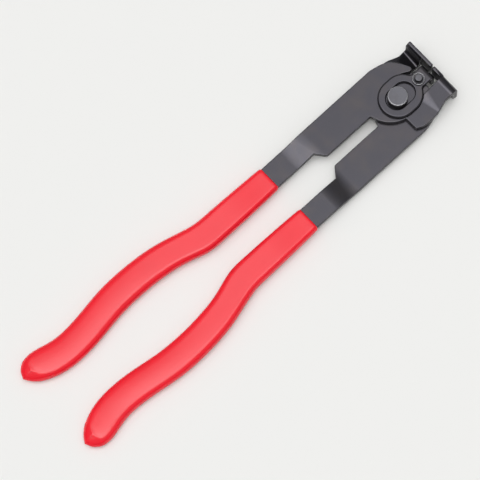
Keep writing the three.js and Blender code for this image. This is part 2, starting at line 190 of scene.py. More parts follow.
class StageSettings(bpy.types.PropertyGroup):
    """Camera, light and floor."""

    azimuth: angle(
        "Azimuth", "Camera's direction round the tool, from -Y towards +X", 47.15389)
    elevation: angle("Elevation", "Camera's height above the tool's plane", 74.96319)
    roll: angle("Roll", "Camera's turn about its own axis", -0.23567)
    target: FloatVectorProperty(
        name="Target", description="Point at the middle of the picture",
        default=(-2.625 * MM, -101.225 * MM, 0.0), subtype="XYZ", unit="LENGTH", precision=5)
    distance: length("Distance", "Camera to target", 3448.3 * MM, 0.5, 20.0)
    picture_width: length(
        "Picture Width", "Width of the picture at the target", 230.26 * MM, 0.05, 1.0)
    paper: colour("Paper", "Paper that the tool lies on", "#f1f1ef")
    paper_glow: FloatProperty(
        name="Paper Glow", description="Share of the paper's own colour that shows in the shadows",
        default=0.4, min=0.0, max=1.0, subtype="FACTOR")
    light_level: FloatProperty(
        name="Light", description="Brightness of the large soft light, where white paper is 1",
        default=4.45, min=0.0, max=10.0)
    horizon: angle("Horizon", "Height of the pale band that the floor meets far away", 3.0)
    wall_height: angle("Wall Height", "Height up to which the room is dark", 50.0)
    wall_level: FloatProperty(
        name="Walls", description="Brightness of the room's walls, as a share of its ceiling",
        default=0.06, min=0.0, max=1.0)
    room_level: FloatProperty(
        name="Room", description="Brightness of the room, where white paper is 1", default=0.5,
        min=0.0, max=2.0)


def add_node(tree, kind, sockets=None, **settings):
    """Adds a node with its settings, and with its sockets set to values or linked to others."""
    node = tree.nodes.new(kind)
    for name, value in settings.items():
        setattr(node, name, value)
    for name, value in (sockets or {}).items():
        if isinstance(value, bpy.types.NodeSocket):
            tree.links.new(value, node.inputs[name])
        else:
            node.inputs[name].default_value = value
    return node


def new_material(name):
    """An empty node material."""
    material = bpy.data.materials.new(name)
    material.use_nodes = True
    material.node_tree.nodes.clear()
    return material


def per_metre(size):
    """The scale of a pattern whose features are that size, in metres."""
    return 1.0 / size


# A noise pattern's own spread: nearly all of it lies between these two
NOISE_LOW = 0.3
NOISE_HIGH = 0.7

# Fine grain of hot blackened steel, drawn coarser than the real pickled grain so that it shows
GRAIN_SIZE = 0.4 * MM
GRAIN_DEPTH = 0.004 * MM
GRAIN_STRENGTH = 0.6
GRAIN_DETAIL = 3.0
GRAIN_ROUGHNESS = 0.6

# Clouds of thin oxide, which are also patches where the edges are rubbed more
CLOUD_SIZE = 9.0 * MM
CLOUD_DETAIL = 4.0
CLOUD_ROUGHNESS = 0.55
CLOUD_EDGE = 0.45
CLOUD_MIDDLE = 0.75
PATCH_EDGE = 0.35
PATCH_MIDDLE = 0.65

# Rolling marks of the strip
ROLLING_WIDTH = 0.35 * MM
ROLLING_STRETCH = 0.04  # they run on along the tool for 25 times their width
ROLLING_DETAIL = 2.0
SATIN_LESS = 0.03  # how far they take the roughness down and up
SATIN_MORE = 0.04

# Metal under the oxide
STEEL_METALLIC = 0.85
STAMPING_RUBBED = 0.06  # how far the tumbled edges of the stampings are rubbed to bare steel
RIVET_RUBBED = 0.9
# Steep walls: duller like cut steel, under a darker colour that is partly painted shade
RUBBED_LEAST = 0.6  # rubbing where it is least, as a share of the most
SHEAR_METALLIC = 0.7
SHEAR_ROUGHNESS = 0.42


def blackened_steel(name, oxide, settings, rubbed_to):
    """Mild steel, stamped or turned, tumbled and blackened in hot salts with a film of oil. To the
    eye it is a dark neutral grey with a soft even sheen, a fine grain, faint brown clouds where the
    oxide is thin, and edges that are rubbed brighter, most of all on the rivets, which slide and
    turn. Its steep walls are duller, as cut steel is, and darker in colour; that darker colour is
    partly painted shade, as it goes on every steep wall, the turned rivets' too."""
    material = new_material(name)
    tree = material.node_tree
    place = add_node(tree, "ShaderNodeTexCoord").outputs["Object"]
    grain = add_node(tree, "ShaderNodeTexNoise", {
        "Vector": place, "Scale": per_metre(GRAIN_SIZE), "Detail": GRAIN_DETAIL,
        "Roughness": GRAIN_ROUGHNESS})
    clouds = add_node(tree, "ShaderNodeTexNoise", {
        "Vector": place, "Scale": per_metre(CLOUD_SIZE), "Detail": CLOUD_DETAIL,
        "Roughness": CLOUD_ROUGHNESS})
    along = add_node(
        tree, "ShaderNodeMapping", {"Vector": place, "Scale": (1.0, ROLLING_STRETCH, 1.0)})
    rolling = add_node(tree, "ShaderNodeTexNoise", {
        "Vector": along.outputs["Vector"], "Scale": per_metre(ROLLING_WIDTH),
        "Detail": ROLLING_DETAIL})
    thin = add_node(tree, "ShaderNodeMapRange", {
        "Value": clouds.outputs["Fac"], "From Min": CLOUD_EDGE, "From Max": CLOUD_MIDDLE})
    base = add_node(tree, "ShaderNodeMix", {
        MIX_FACTOR: thin.outputs["Result"], MIX_FIRST: oxide, MIX_SECOND: settings.thin_oxide},
        data_type="RGBA")
    rub = add_node(tree, "ShaderNodeAttribute", attribute_name=RUBBED, attribute_type="GEOMETRY")
    patchy = add_node(tree, "ShaderNodeMapRange", {
        "Value": clouds.outputs["Fac"], "From Min": PATCH_EDGE, "From Max": PATCH_MIDDLE,
        "To Min": rubbed_to * RUBBED_LEAST, "To Max": rubbed_to})
    rubbing = add_node(tree, "ShaderNodeMath", {
        0: rub.outputs["Fac"], 1: patchy.outputs["Result"]}, operation="MULTIPLY")
    # The steep walls' darker colour: partly cut steel, partly painted shade
    shear = add_node(tree, "ShaderNodeAttribute", attribute_name=SHEARED, attribute_type="GEOMETRY")
    cut = add_node(tree, "ShaderNodeMix", {
        MIX_FACTOR: shear.outputs["Fac"], MIX_FIRST: base.outputs[MIX_RESULT],
        MIX_SECOND: settings.shear}, data_type="RGBA")
    worn = add_node(tree, "ShaderNodeMix", {
        MIX_FACTOR: rubbing.outputs["Value"], MIX_FIRST: cut.outputs[MIX_RESULT],
        MIX_SECOND: settings.bare}, data_type="RGBA")
    satin = add_node(tree, "ShaderNodeMapRange", {
        "Value": rolling.outputs["Fac"], "From Min": NOISE_LOW, "From Max": NOISE_HIGH,
        "To Min": settings.roughness - SATIN_LESS, "To Max": settings.roughness + SATIN_MORE})
    rough = add_node(tree, "ShaderNodeMapRange", {
        "Value": shear.outputs["Fac"], "To Min": satin.outputs["Result"],
        "To Max": SHEAR_ROUGHNESS})
    metallic = add_node(tree, "ShaderNodeMapRange", {
        "Value": shear.outputs["Fac"], "To Min": STEEL_METALLIC, "To Max": SHEAR_METALLIC})
    bump = add_node(tree, "ShaderNodeBump", {
        "Height": grain.outputs["Fac"], "Distance": GRAIN_DEPTH, "Strength": GRAIN_STRENGTH})
    shader = add_node(tree, "ShaderNodeBsdfPrincipled", {
        "Base Color": worn.outputs[MIX_RESULT], "Metallic": metallic.outputs["Result"],
        "Roughness": rough.outputs["Result"], "Normal": bump.outputs["Normal"]})
    add_node(tree, "ShaderNodeOutputMaterial", {"Surface": shader.outputs["BSDF"]})
    return material


# Slow sags and fine skin of dipped vinyl
SAG_SIZE = 14.0 * MM
SAG_DEPTH = 0.03 * MM
SAG_DETAIL = 1.0
SKIN_SIZE = 0.9 * MM
SKIN_DEPTH = 0.002 * MM
SKIN_DETAIL = 2.0

VINYL_IOR = 1.53
VINYL_ROUGHNESS = 0.22
GLOSS_MORE = 0.02  # how far the skin takes the roughness down and up
GLOSS_LESS = 0.03
DEEP_VALUE = 0.93  # brightness of the vinyl where it sagged thick, as a share


def dipped_vinyl(settings):
    """Soft vinyl, dipped hot over the steel and left to gel. To the eye it is a deep even red under
    a wet gloss, whose reflections swim a little because the coat sagged before it set."""
    material = new_material("dipped_vinyl")
    tree = material.node_tree
    place = add_node(tree, "ShaderNodeTexCoord").outputs["Object"]
    sag = add_node(tree, "ShaderNodeTexNoise", {
        "Vector": place, "Scale": per_metre(SAG_SIZE), "Detail": SAG_DETAIL})
    skin = add_node(tree, "ShaderNodeTexNoise", {
        "Vector": place, "Scale": per_metre(SKIN_SIZE), "Detail": SKIN_DETAIL})
    deep = add_node(tree, "ShaderNodeHueSaturation", {"Color": settings.vinyl, "Value": DEEP_VALUE})
    tint = add_node(tree, "ShaderNodeMix", {
        MIX_FACTOR: sag.outputs["Fac"], MIX_FIRST: deep.outputs["Color"],
        MIX_SECOND: settings.vinyl}, data_type="RGBA")
    waves = add_node(tree, "ShaderNodeBump", {"Height": sag.outputs["Fac"], "Distance": SAG_DEPTH})
    bump = add_node(tree, "ShaderNodeBump", {
        "Height": skin.outputs["Fac"], "Distance": SKIN_DEPTH, "Normal": waves.outputs["Normal"]})
    rough = add_node(tree, "ShaderNodeMapRange", {
        "Value": skin.outputs["Fac"], "From Min": NOISE_LOW, "From Max": NOISE_HIGH,
        "To Min": VINYL_ROUGHNESS - GLOSS_MORE, "To Max": VINYL_ROUGHNESS + GLOSS_LESS})
    shader = add_node(tree, "ShaderNodeBsdfPrincipled", {
        "Base Color": tint.outputs[MIX_RESULT], "Roughness": rough.outputs["Result"],
        "IOR": VINYL_IOR, "Normal": bump.outputs["Normal"]})
    add_node(tree, "ShaderNodeOutputMaterial", {"Surface": shader.outputs["BSDF"]})
    return material


def merged_copy(node):
    """A CAD node's mesh with its triangles joined up and each flat face whole."""
    bm = bmesh.new()
    bm.from_mesh(frame["nodes"][node].data)
    bmesh.ops.remove_doubles(bm, verts=bm.verts, dist=WELD_REACH)
    bmesh.ops.dissolve_limit(
        bm, angle_limit=FLAT_ANGLE, use_dissolve_boundaries=False, verts=bm.verts, edges=bm.edges)
    return bm


def round_edges(bm, edges, width, segments):
    """Bevels edges into a rounding, and gives the faces that this makes."""
    made = bmesh.ops.bevel(
        bm, geom=edges, offset=width, offset_type="OFFSET", affect="EDGES", segments=segments,
        profile=0.5, material=-1, clamp_overlap=False)
    return made["faces"]


def split_round_corner(bm, edge):
    """Cuts a face in two along the tool where an edge ends at an inner corner of it, so that the
    edge is rounded by as much on both sides."""
    for face in edge.link_faces[:]:
        ends = [loop.vert for loop in face.loops if loop.vert in edge.verts and not loop.is_convex]
        for end in ends:
            bmesh.ops.bisect_plane(
                bm, geom=[*face.verts, *face.edges, face], dist=WELD_REACH, plane_co=end.co,
                plane_no=(1.0, 0.0, 0.0))


def round_bends(bm, width):
    """Gives the joggles and the jaws' arms their bend radius: these are the blunt edges between two
    broad faces."""
    bends = [
        edge for edge in bm.edges
        if edge.is_manifold and BEND_ANGLE < edge.calc_face_angle() < CUT_EDGE_ANGLE
        and min(face.calc_area() for face in edge.link_faces) > BROAD_FACE
    ]
    for edge in bends:
        split_round_corner(bm, edge)
    round_edges(bm, bends, width, BEND_SEGMENTS)


def break_edges(bm, width, rubbed_up_to):
    """Takes the sharpness off the cut edges. Marks those up to a height as rubbed, and the steep
    walls for the darker wall colour, which is partly painted shade."""
    rubbed = bm.faces.layers.float.new(RUBBED)
    sheared = bm.faces.layers.float.new(SHEARED)
    # Every steep face takes the darker wall colour, partly as painted shade
    for face in bm.faces:
        face[sheared] = float(abs(face.normal.z) < STEEP_FACE)
    cut = [edge for edge in bm.edges if edge.is_convex and edge.calc_face_angle() > CUT_EDGE_ANGLE]
    for face in round_edges(bm, cut, width, CUT_EDGE_SEGMENTS):
        face[rubbed] = float(face.calc_center_median().z < rubbed_up_to)
        face[sheared] = 0.0


def hanging_together(edges, first):
    """Those of some edges that hang together with one of them."""
    group = {first}
    fresh = [first]
    while fresh:
        near = {other for vert in fresh.pop().verts for other in vert.link_edges if other in edges}
        fresh += near - group
        group |= near
    return group


def round_plate(bm, radius, slot_radius):
    """Rounds the upper outline and the slot of the ear plate, which the blanking rolled over."""
    top = max(vert.co.z for vert in bm.verts)
    low, high = (Vector(corner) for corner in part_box("guide_rivet"))
    rivet = ((low + high) / 2).to_2d()
    hole = (high.x - low.x) / 2 + HOLE_MARGIN
    for in_slot, width in ((False, radius), (True, slot_radius)):
        edges = {
            edge for edge in bm.edges
            if edge.is_convex and edge.calc_face_angle() > CUT_EDGE_ANGLE
            and all(vert.co.z > top - WELD_REACH for vert in edge.verts)
            and all((vert.co.to_2d() - rivet).length > hole for vert in edge.verts)
        }
        innermost = min(
            edges, key=lambda edge: (edge.verts[0].co + edge.verts[1].co).to_2d().length)
        slot = hanging_together(edges, innermost)
        chosen = [edge for edge in bm.edges if edge in edges and (edge in slot) == in_slot]
        round_edges(bm, chosen, width, PLATE_SEGMENTS)


def jaw_bend_edges(bm):
    """The short strips' edges in the inside of a jaw bend."""
    return [
        edge for edge in bm.edges
        if edge.is_manifold and not edge.is_convex and edge.calc_face_angle() > BEND_ANGLE
        and max(abs(face.normal.x) for face in edge.link_faces) < FLAT_ANGLE
        and min(face.calc_area() for face in edge.link_faces) < BEND_STRIP
    ]


def ease_jaw_bend(bm, radius):
    """Draws the inside of a jaw bend to a sharp corner, and rounds that to a wider radius."""
    verts = {vert for edge in jaw_bend_edges(bm) for vert in edge.verts}
    back = max(vert.co.y for vert in verts)
    first = min(verts, key=lambda vert: vert.co.y)
    slope = max(first.link_faces, key=lambda face: face.calc_area())
    corner = first.co.z - (back - first.co.y) * slope.normal.y / slope.normal.z
    turn = math.pi / 2 + math.asin(abs(slope.normal.y))
    for vert in verts:
        vert.co.y = back
        vert.co.z = corner
    bmesh.ops.remove_doubles(bm, verts=bm.verts, dist=WELD_REACH)
    bend = [
        edge for edge in bm.edges
        if all(abs(vert.co.y - back) + abs(vert.co.z - corner) < WELD_REACH for vert in edge.verts)
    ]
    round_edges(bm, bend, radius * math.tan(turn / 2), JAW_BEND_SEGMENTS)


def top_corners(bm):
    """The corners at the very top of a piece."""
    top = max(vert.co.z for vert in bm.verts)
    return [vert for vert in bm.verts if vert.co.z > top - WELD_REACH]


def narrow_rim(bm, width):
    """Brings the chamfer round the top of a rivet's head down to a width."""
    upper = top_corners(bm)
    top = max(vert.co.z for vert in upper)
    below = max(vert.co.z for vert in bm.verts if vert.co.z < top - WELD_REACH)
    lower = [vert for vert in bm.verts if abs(vert.co.z - below) < WELD_REACH]
    inner = max(vert.co.to_2d().length for vert in upper)
    outer = max(vert.co.to_2d().length for vert in lower)
    grown = (outer - width) / inner
    bmesh.ops.scale(bm, vec=(grown, grown, 1.0), verts=upper)
    bmesh.ops.translate(bm, vec=(0.0, 0.0, top - width - below), verts=lower)


def raise_stub(bm, rise):
    """Lengthens the stub on top of a rivet."""
    bmesh.ops.translate(bm, vec=(0.0, 0.0, rise), verts=top_corners(bm))


def dish_collar(bm, depth):
    """Sinks the flat of a rivet's collar, round the stub that stands up from its middle. Gives the
    collar's height."""
    levels = {}
    for face in bm.faces:
        if face.normal.z > math.cos(FLAT_ANGLE):
            levels.setdefault(round(face.calc_center_median().z / WELD_REACH), []).append(face)
    level = sorted(levels)[-2]
    collar = levels[level]
    stub_top = top_corners(bm)
    middle = sum((vert.co for vert in stub_top), Vector()) / len(stub_top)
    sunk = [
        part for part in bmesh.ops.extrude_face_region(bm, geom=collar)["geom"]
        if isinstance(part, bmesh.types.BMVert)
    ]
    bmesh.ops.delete(bm, geom=collar, context="FACES")
    bmesh.ops.translate(bm, vec=(0.0, 0.0, -depth), verts=sunk)
    far = max((vert.co - middle).to_2d().length for vert in sunk)
    rim = [vert for vert in sunk if (vert.co - middle).to_2d().length > far - DISH_RIM_REACH]
    bmesh.ops.scale(
        bm, vec=(1 - DISH_SLANT, 1 - DISH_SLANT, 1.0), space=Matrix.Translation(-middle), verts=rim)
    return level * WELD_REACH


def body_of(node):
    """The body that a CAD node belongs to."""
    bodies = frame["record"]["behaviour"]["bodies"]
    return next(body for body, nodes in bodies.items() if node in nodes)


def finish_piece(name, bm, finish, node):
    """Turns a bmesh into a piece that stands for a CAD node and rides on its body."""
    for face in bm.faces:
        face.smooth = True
    mesh = bpy.data.meshes.new(name)
    bm.to_mesh(mesh)
    bm.free()
    mesh.materials.append(finish)
    piece = bpy.data.objects.new(name, mesh)
    bpy.context.scene.collection.objects.link(piece)
    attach(piece, body_of(node))
    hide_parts(node)
    return piece


def steel_piece(name, node, edge_width, finish, form=None):
    """A steel piece: the CAD node's solid, formed further where asked, with its cut edges broken.
    The form may give the height up to which the edges are rubbed."""
    bm = merged_copy(node)
    rubbed_up_to = form(bm) if form else None
    break_edges(bm, edge_width, rubbed_up_to or math.inf)
    piece = finish_piece(name, bm, finish, node)
    piece.data.set_sharp_from_angle(angle=SHARP_SHADING_ANGLE)
    weighted = piece.modifiers.new("Flat Faces Stay Flat", "WEIGHTED_NORMAL")
    weighted.keep_sharp = True


# Places along a grip, as shares of its length from the mouth
LIP_SHARE = 0.16  # up to here the coat thins towards its mouth
CROWN_SHARE = 0.35  # here its crown starts to rise
CROWN_RAMP = 0.4  # over this much more of its length the crown rises to the full
NARROW_SHARE = 0.6  # up to here the rounding of the long edges widens
PULL_SHARE = 0.93  # past this the flats are drawn in from the tip
TIP_SHARE = 0.955  # past this its top is one flat face
POCKET_SHARE = 0.985  # here the steel inside ends

# Sections of a grip
GROOVE_REACH = 0.4  # half the groove's width, as a share of half the flat's
END_INSET = 0.02 * MM  # the sections at its very ends are cut this much inside it
TIP_STEPS = 7
CUTS_ACROSS = 3
EDGE_SEGMENTS = 6
LIP_SEGMENTS = 3
SMOOTHING_LEVELS = 2


def smoothstep(value):
    """Eases a share from 0 to 1."""
    share = min(max(value, 0.0), 1.0)
    return share * share * (3.0 - 2.0 * share)


def section_box(solid, reach):
    """Lowest and highest corner of the cut that a plane across the tool makes through a solid."""
    section = solid.copy()
    made = bmesh.ops.bisect_plane(
        section, geom=[*section.verts, *section.edges, *section.faces], dist=WELD_REACH,
        plane_co=(0.0, reach, 0.0), plane_no=(0.0, 1.0, 0.0))
    cut = [part.co.copy() for part in made["geom_cut"] if isinstance(part, bmesh.types.BMVert)]
    section.free()
    low = Vector(min(point[axis] for point in cut) for axis in range(3))
    high = Vector(max(point[axis] for point in cut) for axis in range(3))
    return low, high


def grip_reaches(mouth, tip, count):
    """Distances along the tool of a grip's sections: even ones, then closer ones round the tip."""
    last = mouth + (tip - mouth) * TIP_SHARE
    even = [mouth + (last - mouth) * step / count for step in range(count + 1)]
    turns = [math.sin(math.pi / 2 * step / TIP_STEPS) for step in range(1, TIP_STEPS + 1)]
    return even + [last + (tip - last) * turn for turn in turns]


def follow_on(verts, made):
    """The new corner that an extrusion made from each old one, in the same order."""
    fresh = {part for part in made if isinstance(part, bmesh.types.BMVert)}
    return [
        next(edge.other_vert(vert) for edge in vert.link_edges if edge.other_vert(vert) in fresh)
        for vert in verts
    ]


def ladder(bm, sections, height):
    """A flat strip of faces at a height, with a rung across each section. Gives the rungs."""
    spots = [((low.x, low.y, height), (high.x, low.y, height)) for low, high in sections]
    ends = [bm.verts.new(spot) for spot in spots[0]]
    rungs = [bm.edges.new(ends)]
    for pair in spots[1:]:
        made = bmesh.ops.extrude_edge_only(bm, edges=[rungs[-1]])["geom"]
        ends = follow_on(ends, made)
        for end, spot in zip(ends, pair):
            end.co = spot
        rungs.append(bm.edges.get(ends))
    return rungs


def grip_slab(sections, count, floor, top):
    """A flat slab between a grip's edges, with its faces in columns up to the round tip."""
    bm = bmesh.new()
    rungs = ladder(bm, sections, floor)
    bmesh.ops.dissolve_edges(bm, edges=rungs[count + 1:-1], use_verts=False)
    bmesh.ops.subdivide_edges(bm, edges=rungs[:count + 1], cuts=CUTS_ACROSS, use_grid_fill=True)
    raised = bmesh.ops.extrude_face_region(bm, geom=bm.faces[:])["geom"]
    lifted = [part for part in raised if isinstance(part, bmesh.types.BMVert)]
    bmesh.ops.translate(bm, verts=lifted, vec=(0.0, 0.0, top - floor))
    bmesh.ops.recalc_face_normals(bm, faces=bm.faces)
    return bm


def lies_across(edge_or_face, reach):
    """Whether an edge or a face lies in the plane across the tool at a distance."""
    return all(abs(vert.co.y - reach) < WELD_REACH for vert in edge_or_face.verts)


def round_slab(bm, mouth, settings):
    """Rounds the long edges and the tip of a slab, and then the lip at its mouth."""
    rim = [
        edge for edge in bm.edges
        if edge.calc_face_angle() > SHARP_SHADING_ANGLE and not lies_across(edge, mouth)
        and abs(edge.verts[0].co.z - edge.verts[1].co.z) < WELD_REACH
    ]
    round_edges(bm, rim, settings.edge_radius, EDGE_SEGMENTS)
    ends = [face for face in bm.faces if lies_across(face, mouth)]
    bmesh.ops.dissolve_faces(bm, faces=ends)
    end = next(face for face in bm.faces if lies_across(face, mouth))
    round_edges(bm, end.edges[:], settings.lip_radius, LIP_SEGMENTS)


def narrower(off_centre, wide, narrow):
    """Moves a place across a grip so that the rounding of its edge narrows. All are shares of half
    its width."""
    reach = abs(off_centre)
    if reach < 1 - wide:
        moved = reach * (1 - narrow) / (1 - wide)
    else:
        moved = 1 - (1 - reach) * narrow / wide
    return math.copysign(moved, off_centre)


def section_at(sections, reach):
    """The middle of a grip and half its width, at a distance along the tool."""
    before, after = next(
        (pair for pair in zip(sections, sections[1:]) if reach >= pair[1][0].y), sections[-2:])
    share = min(max((before[0].y - reach) / (before[0].y - after[0].y), 0.0), 1.0)
    left = before[0].x + (after[0].x - before[0].x) * share
    right = before[1].x + (after[1].x - before[1].x) * share
    return (left + right) / 2, (right - left) / 2


def form_coat(bm, sections, middle, settings):
    """Thins the coat towards its mouth, crowns its upper face towards the tip, with a faint groove
    along it, and draws the flats in from the tip."""
    mouth = sections[0][0].y
    tip = sections[-1][0].y
    half = max(vert.co.z for vert in bm.verts) - middle
    pull_reach = mouth + (tip - mouth) * PULL_SHARE
    pull_to = Vector((section_at(sections, pull_reach)[0], pull_reach, 0.0))
    for vert in bm.verts:
        share = (mouth - vert.co.y) / (mouth - tip)
        centre, reach = section_at(sections, vert.co.y)
        off_centre = (vert.co.x - centre) / reach
        height = vert.co.z - middle
        if height > half - WELD_REACH:
            off_crown = min(abs(off_centre) / (1 - settings.edge_radius / reach), 1.0)
            groove = settings.groove * max(1 - off_crown / GROOVE_REACH, 0.0)
            rise = smoothstep((share - CROWN_SHARE) / CROWN_RAMP)
            vert.co.z += rise * (settings.crown * (1 - off_crown ** 2) - groove)
        moved = narrower(off_centre, settings.edge_radius / reach, settings.mouth_radius / reach)
        near_mouth = 1 - smoothstep(share / NARROW_SHARE)
        vert.co.x = centre + reach * (off_centre + (moved - off_centre) * near_mouth)
        thin = settings.lip_drop * (1 - smoothstep(share / LIP_SHARE))
        vert.co.z -= thin * height / half
        drawn = smoothstep((share - PULL_SHARE) / (1 - PULL_SHARE))
        pull = settings.tip_pull * drawn * (height / half) ** 2
        vert.co.x += (pull_to.x - vert.co.x) * pull
        vert.co.y += (pull_to.y - vert.co.y) * pull


def pocket_corners(strap, reach, fit):
    """Corners of the pocket that hugs the strap, at a distance along the tool."""
    low, high = section_box(strap, reach)
    left, right = low.x - fit, high.x + fit
    under, over = low.z - fit, high.z + fit
    return [(left, reach, under), (right, reach, under), (right, reach, over), (left, reach, over)]


def round_pairs(verts):
    """Each corner of a ring, after the one before it."""
    return [(verts[index - 1], verts[index]) for index in range(len(verts))]


def hollow_coat(bm, strap, mouth, tip, count, settings):
    """Opens the mouth and sinks a pocket that hugs the strap."""
    crease = bm.edges.layers.float.new("crease_edge")
    end = next(face for face in bm.faces if lies_across(face, mouth))
    lip = end.edges[:]
    bmesh.ops.delete(bm, geom=[end], context="FACES_ONLY")
    bottom = mouth + (tip - mouth) * POCKET_SHARE
    reaches = [mouth + (bottom - mouth) * step / count for step in range(count + 1)]
    verts = [bm.verts.new(corner) for corner in pocket_corners(strap, reaches[0], settings.fit)]
    first = ring = [bm.edges.new(pair) for pair in round_pairs(verts)]
    walls = []
    for reach in reaches[1:]:
        made = bmesh.ops.extrude_edge_only(bm, edges=ring)["geom"]
        walls += [part for part in made if isinstance(part, bmesh.types.BMFace)]
        verts = follow_on(verts, made)
        for vert, corner in zip(verts, pocket_corners(strap, reach, settings.fit)):
            vert.co = corner
        ring = [bm.edges.get(pair) for pair in round_pairs(verts)]
    floor = bmesh.ops.contextual_create(bm, geom=ring)["faces"]
    for face in walls + floor:
        for edge in face.edges:
            edge[crease] = 1.0
    bmesh.ops.bridge_loops(bm, edges=lip + first)
    bmesh.ops.recalc_face_normals(bm, faces=bm.faces)


def grip_piece(name, node, handle, settings, finish):
    """A dipped coat: a slab between the CAD grip's edges, rounded, thinned to a lip and hollow."""
    solid = merged_copy(node)
    strap = merged_copy(handle)
    lowest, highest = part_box(node)
    mouth = highest[1]
    tip = lowest[1]
    middle = (lowest[2] + highest[2]) / 2
    sections = []
    for reach in grip_reaches(mouth, tip, settings.stations):
        low, high = section_box(solid, min(max(reach, tip + END_INSET), mouth - END_INSET))
        low.y = reach
        sections.append((low, high))
    bm = grip_slab(sections, settings.stations, lowest[2], highest[2])
    round_slab(bm, mouth, settings)
    form_coat(bm, sections, middle, settings)
    hollow_coat(bm, strap, mouth, tip, settings.stations, settings)
    solid.free()
    strap.free()
    piece = finish_piece(name, bm, finish, node)
    smoothing = piece.modifiers.new("Even Coat", "SUBSURF")
    smoothing.levels = SMOOTHING_LEVELS
    smoothing.render_levels = SMOOTHING_LEVELS


class PLIERS_OT_handles(bpy.types.Operator):
    """Dress the two handle stampings"""

    bl_idname = "pliers.handles"
    bl_label = "Handles"

    def execute(self, context):
        steel = context.scene.pliers_steel
        finish = blackened_steel("blackened_stamping", steel.oxide, steel, STAMPING_RUBBED)

        def form(bm):
            round_bends(bm, steel.bend_width)
            ease_jaw_bend(bm, steel.jaw_bend)

        for side in ("left", "right"):
            steel_piece(
                f"{side}_stamping", f"{side}_handle", steel.edge_break, finish,
                form)
        return {"FINISHED"}


class PLIERS_OT_ear_plate(bpy.types.Operator):
    """Dress the sliding ear plate"""

    bl_idname = "pliers.ear_plate"
    bl_label = "Ear Plate"

    def execute(self, context):
        steel = context.scene.pliers_steel
        finish = blackened_steel("blackened_ear_plate", steel.oxide, steel, STAMPING_RUBBED)

        def form(bm):
            round_plate(bm, steel.plate_round, steel.slot_round)

        steel_piece(
            "ear_plate_stamping", "ear_plate", steel.edge_break, finish, form)
        return {"FINISHED"}


class PLIERS_OT_rivets(bpy.types.Operator):
    """Dress the two rivets and their washers"""

    bl_idname = "pliers.rivets"
    bl_label = "Rivets and Washers"

    def execute(self, context):
        steel = context.scene.pliers_steel
        finish = blackened_steel("blackened_turning", steel.rivet, steel, RIVET_RUBBED)
        width = steel.rivet_break

        def form_pivot(bm):
            narrow_rim(bm, steel.rim_width)

        def form_guide(bm):
            raise_stub(bm, steel.stub_rise)
            return dish_collar(bm, steel.dish_depth)

        steel_piece("pivot_rivet_turned", "pivot_rivet", width, finish, form_pivot)
        steel_piece(
            "guide_rivet_turned", "guide_rivet", steel.collar_break, finish, form_guide)
        steel_piece("pivot_washer_pressed", "pivot_washer", width, finish)
        steel_piece("guide_washer_pressed", "guide_washer", width, finish)
        return {"FINISHED"}


class PLIERS_OT_grips(bpy.types.Operator):
    """Dip the two grips"""

    bl_idname = "pliers.grips"
    bl_label = "Grips"

    def execute(self, context):
        grips = context.scene.pliers_grips
        finish = dipped_vinyl(grips)
        for side in ("left", "right"):
            grip_piece(f"{side}_coat", f"{side}_grip", f"{side}_handle", grips, finish)
        return {"FINISHED"}


# Floor: plain paper that the tool rests on with its pivot rivet and its grips
FLOOR_SIZE = 12.0
FLOOR_SEGMENTS = 8
REST_REACH = 222 * MM  # pivot axis to where the grips' tips rest
FIBRE_SIZE = 0.5 * MM
PAPER_SMOOTHEST = 0.85  # roughness of the paper, at the least and the most
PAPER_ROUGHEST = 0.95
PAPER_SPECULAR = 0.1
GLOW_REACH = 15 * MM  # the glow fades where the tool is this close above the paper
GLOW_GONE = 0.3  # it is gone where less than this share of the sky is open, and full from the next
GLOW_FULL = 0.8


def paper(settings):
    """Matt white paper, which takes the tool's soft shadow. Part of what the camera and the steel
    see of it glows at the paper's own colour, as thin paper on a bright table does."""
    material = new_material("paper")
    tree = material.node_tree
    place = add_node(tree, "ShaderNodeTexCoord").outputs["Object"]
    fibre = add_node(
        tree, "ShaderNodeTexNoise", {"Vector": place, "Scale": per_metre(FIBRE_SIZE)})
    rough = add_node(tree, "ShaderNodeMapRange", {
        "Value": fibre.outputs["Fac"], "To Min": PAPER_SMOOTHEST, "To Max": PAPER_ROUGHEST})
    shader = add_node(tree, "ShaderNodeBsdfPrincipled", {
        "Base Color": settings.paper, "Roughness": rough.outputs["Result"],
        "Specular IOR Level": PAPER_SPECULAR})
    glow = add_node(tree, "ShaderNodeEmission", {"Color": settings.paper, "Strength": 1.0})
    path = add_node(tree, "ShaderNodeLightPath")
    mirrored = add_node(tree, "ShaderNodeMath", {
        0: path.outputs["Is Glossy Ray"], 1: path.outputs["Is Transmission Ray"]},
        operation="MAXIMUM")
    looked_at = add_node(tree, "ShaderNodeMath", {
        0: path.outputs["Is Camera Ray"], 1: mirrored.outputs["Value"]},
        operation="MAXIMUM")
    open_sky = add_node(tree, "ShaderNodeAmbientOcclusion", {"Distance": GLOW_REACH})
    glowing = add_node(tree, "ShaderNodeMapRange", {
        "Value": open_sky.outputs["AO"], "From Min": GLOW_GONE, "From Max": GLOW_FULL,
        "To Max": settings.paper_glow})
    share = add_node(tree, "ShaderNodeMath", {
        0: looked_at.outputs["Value"], 1: glowing.outputs["Result"]}, operation="MULTIPLY")
    mix = add_node(tree, "ShaderNodeMixShader", {
        0: share.outputs["Value"], 1: shader.outputs["BSDF"], 2: glow.outputs["Emission"]})
    add_node(tree, "ShaderNodeOutputMaterial", {"Surface": mix.outputs["Shader"]})
    return material


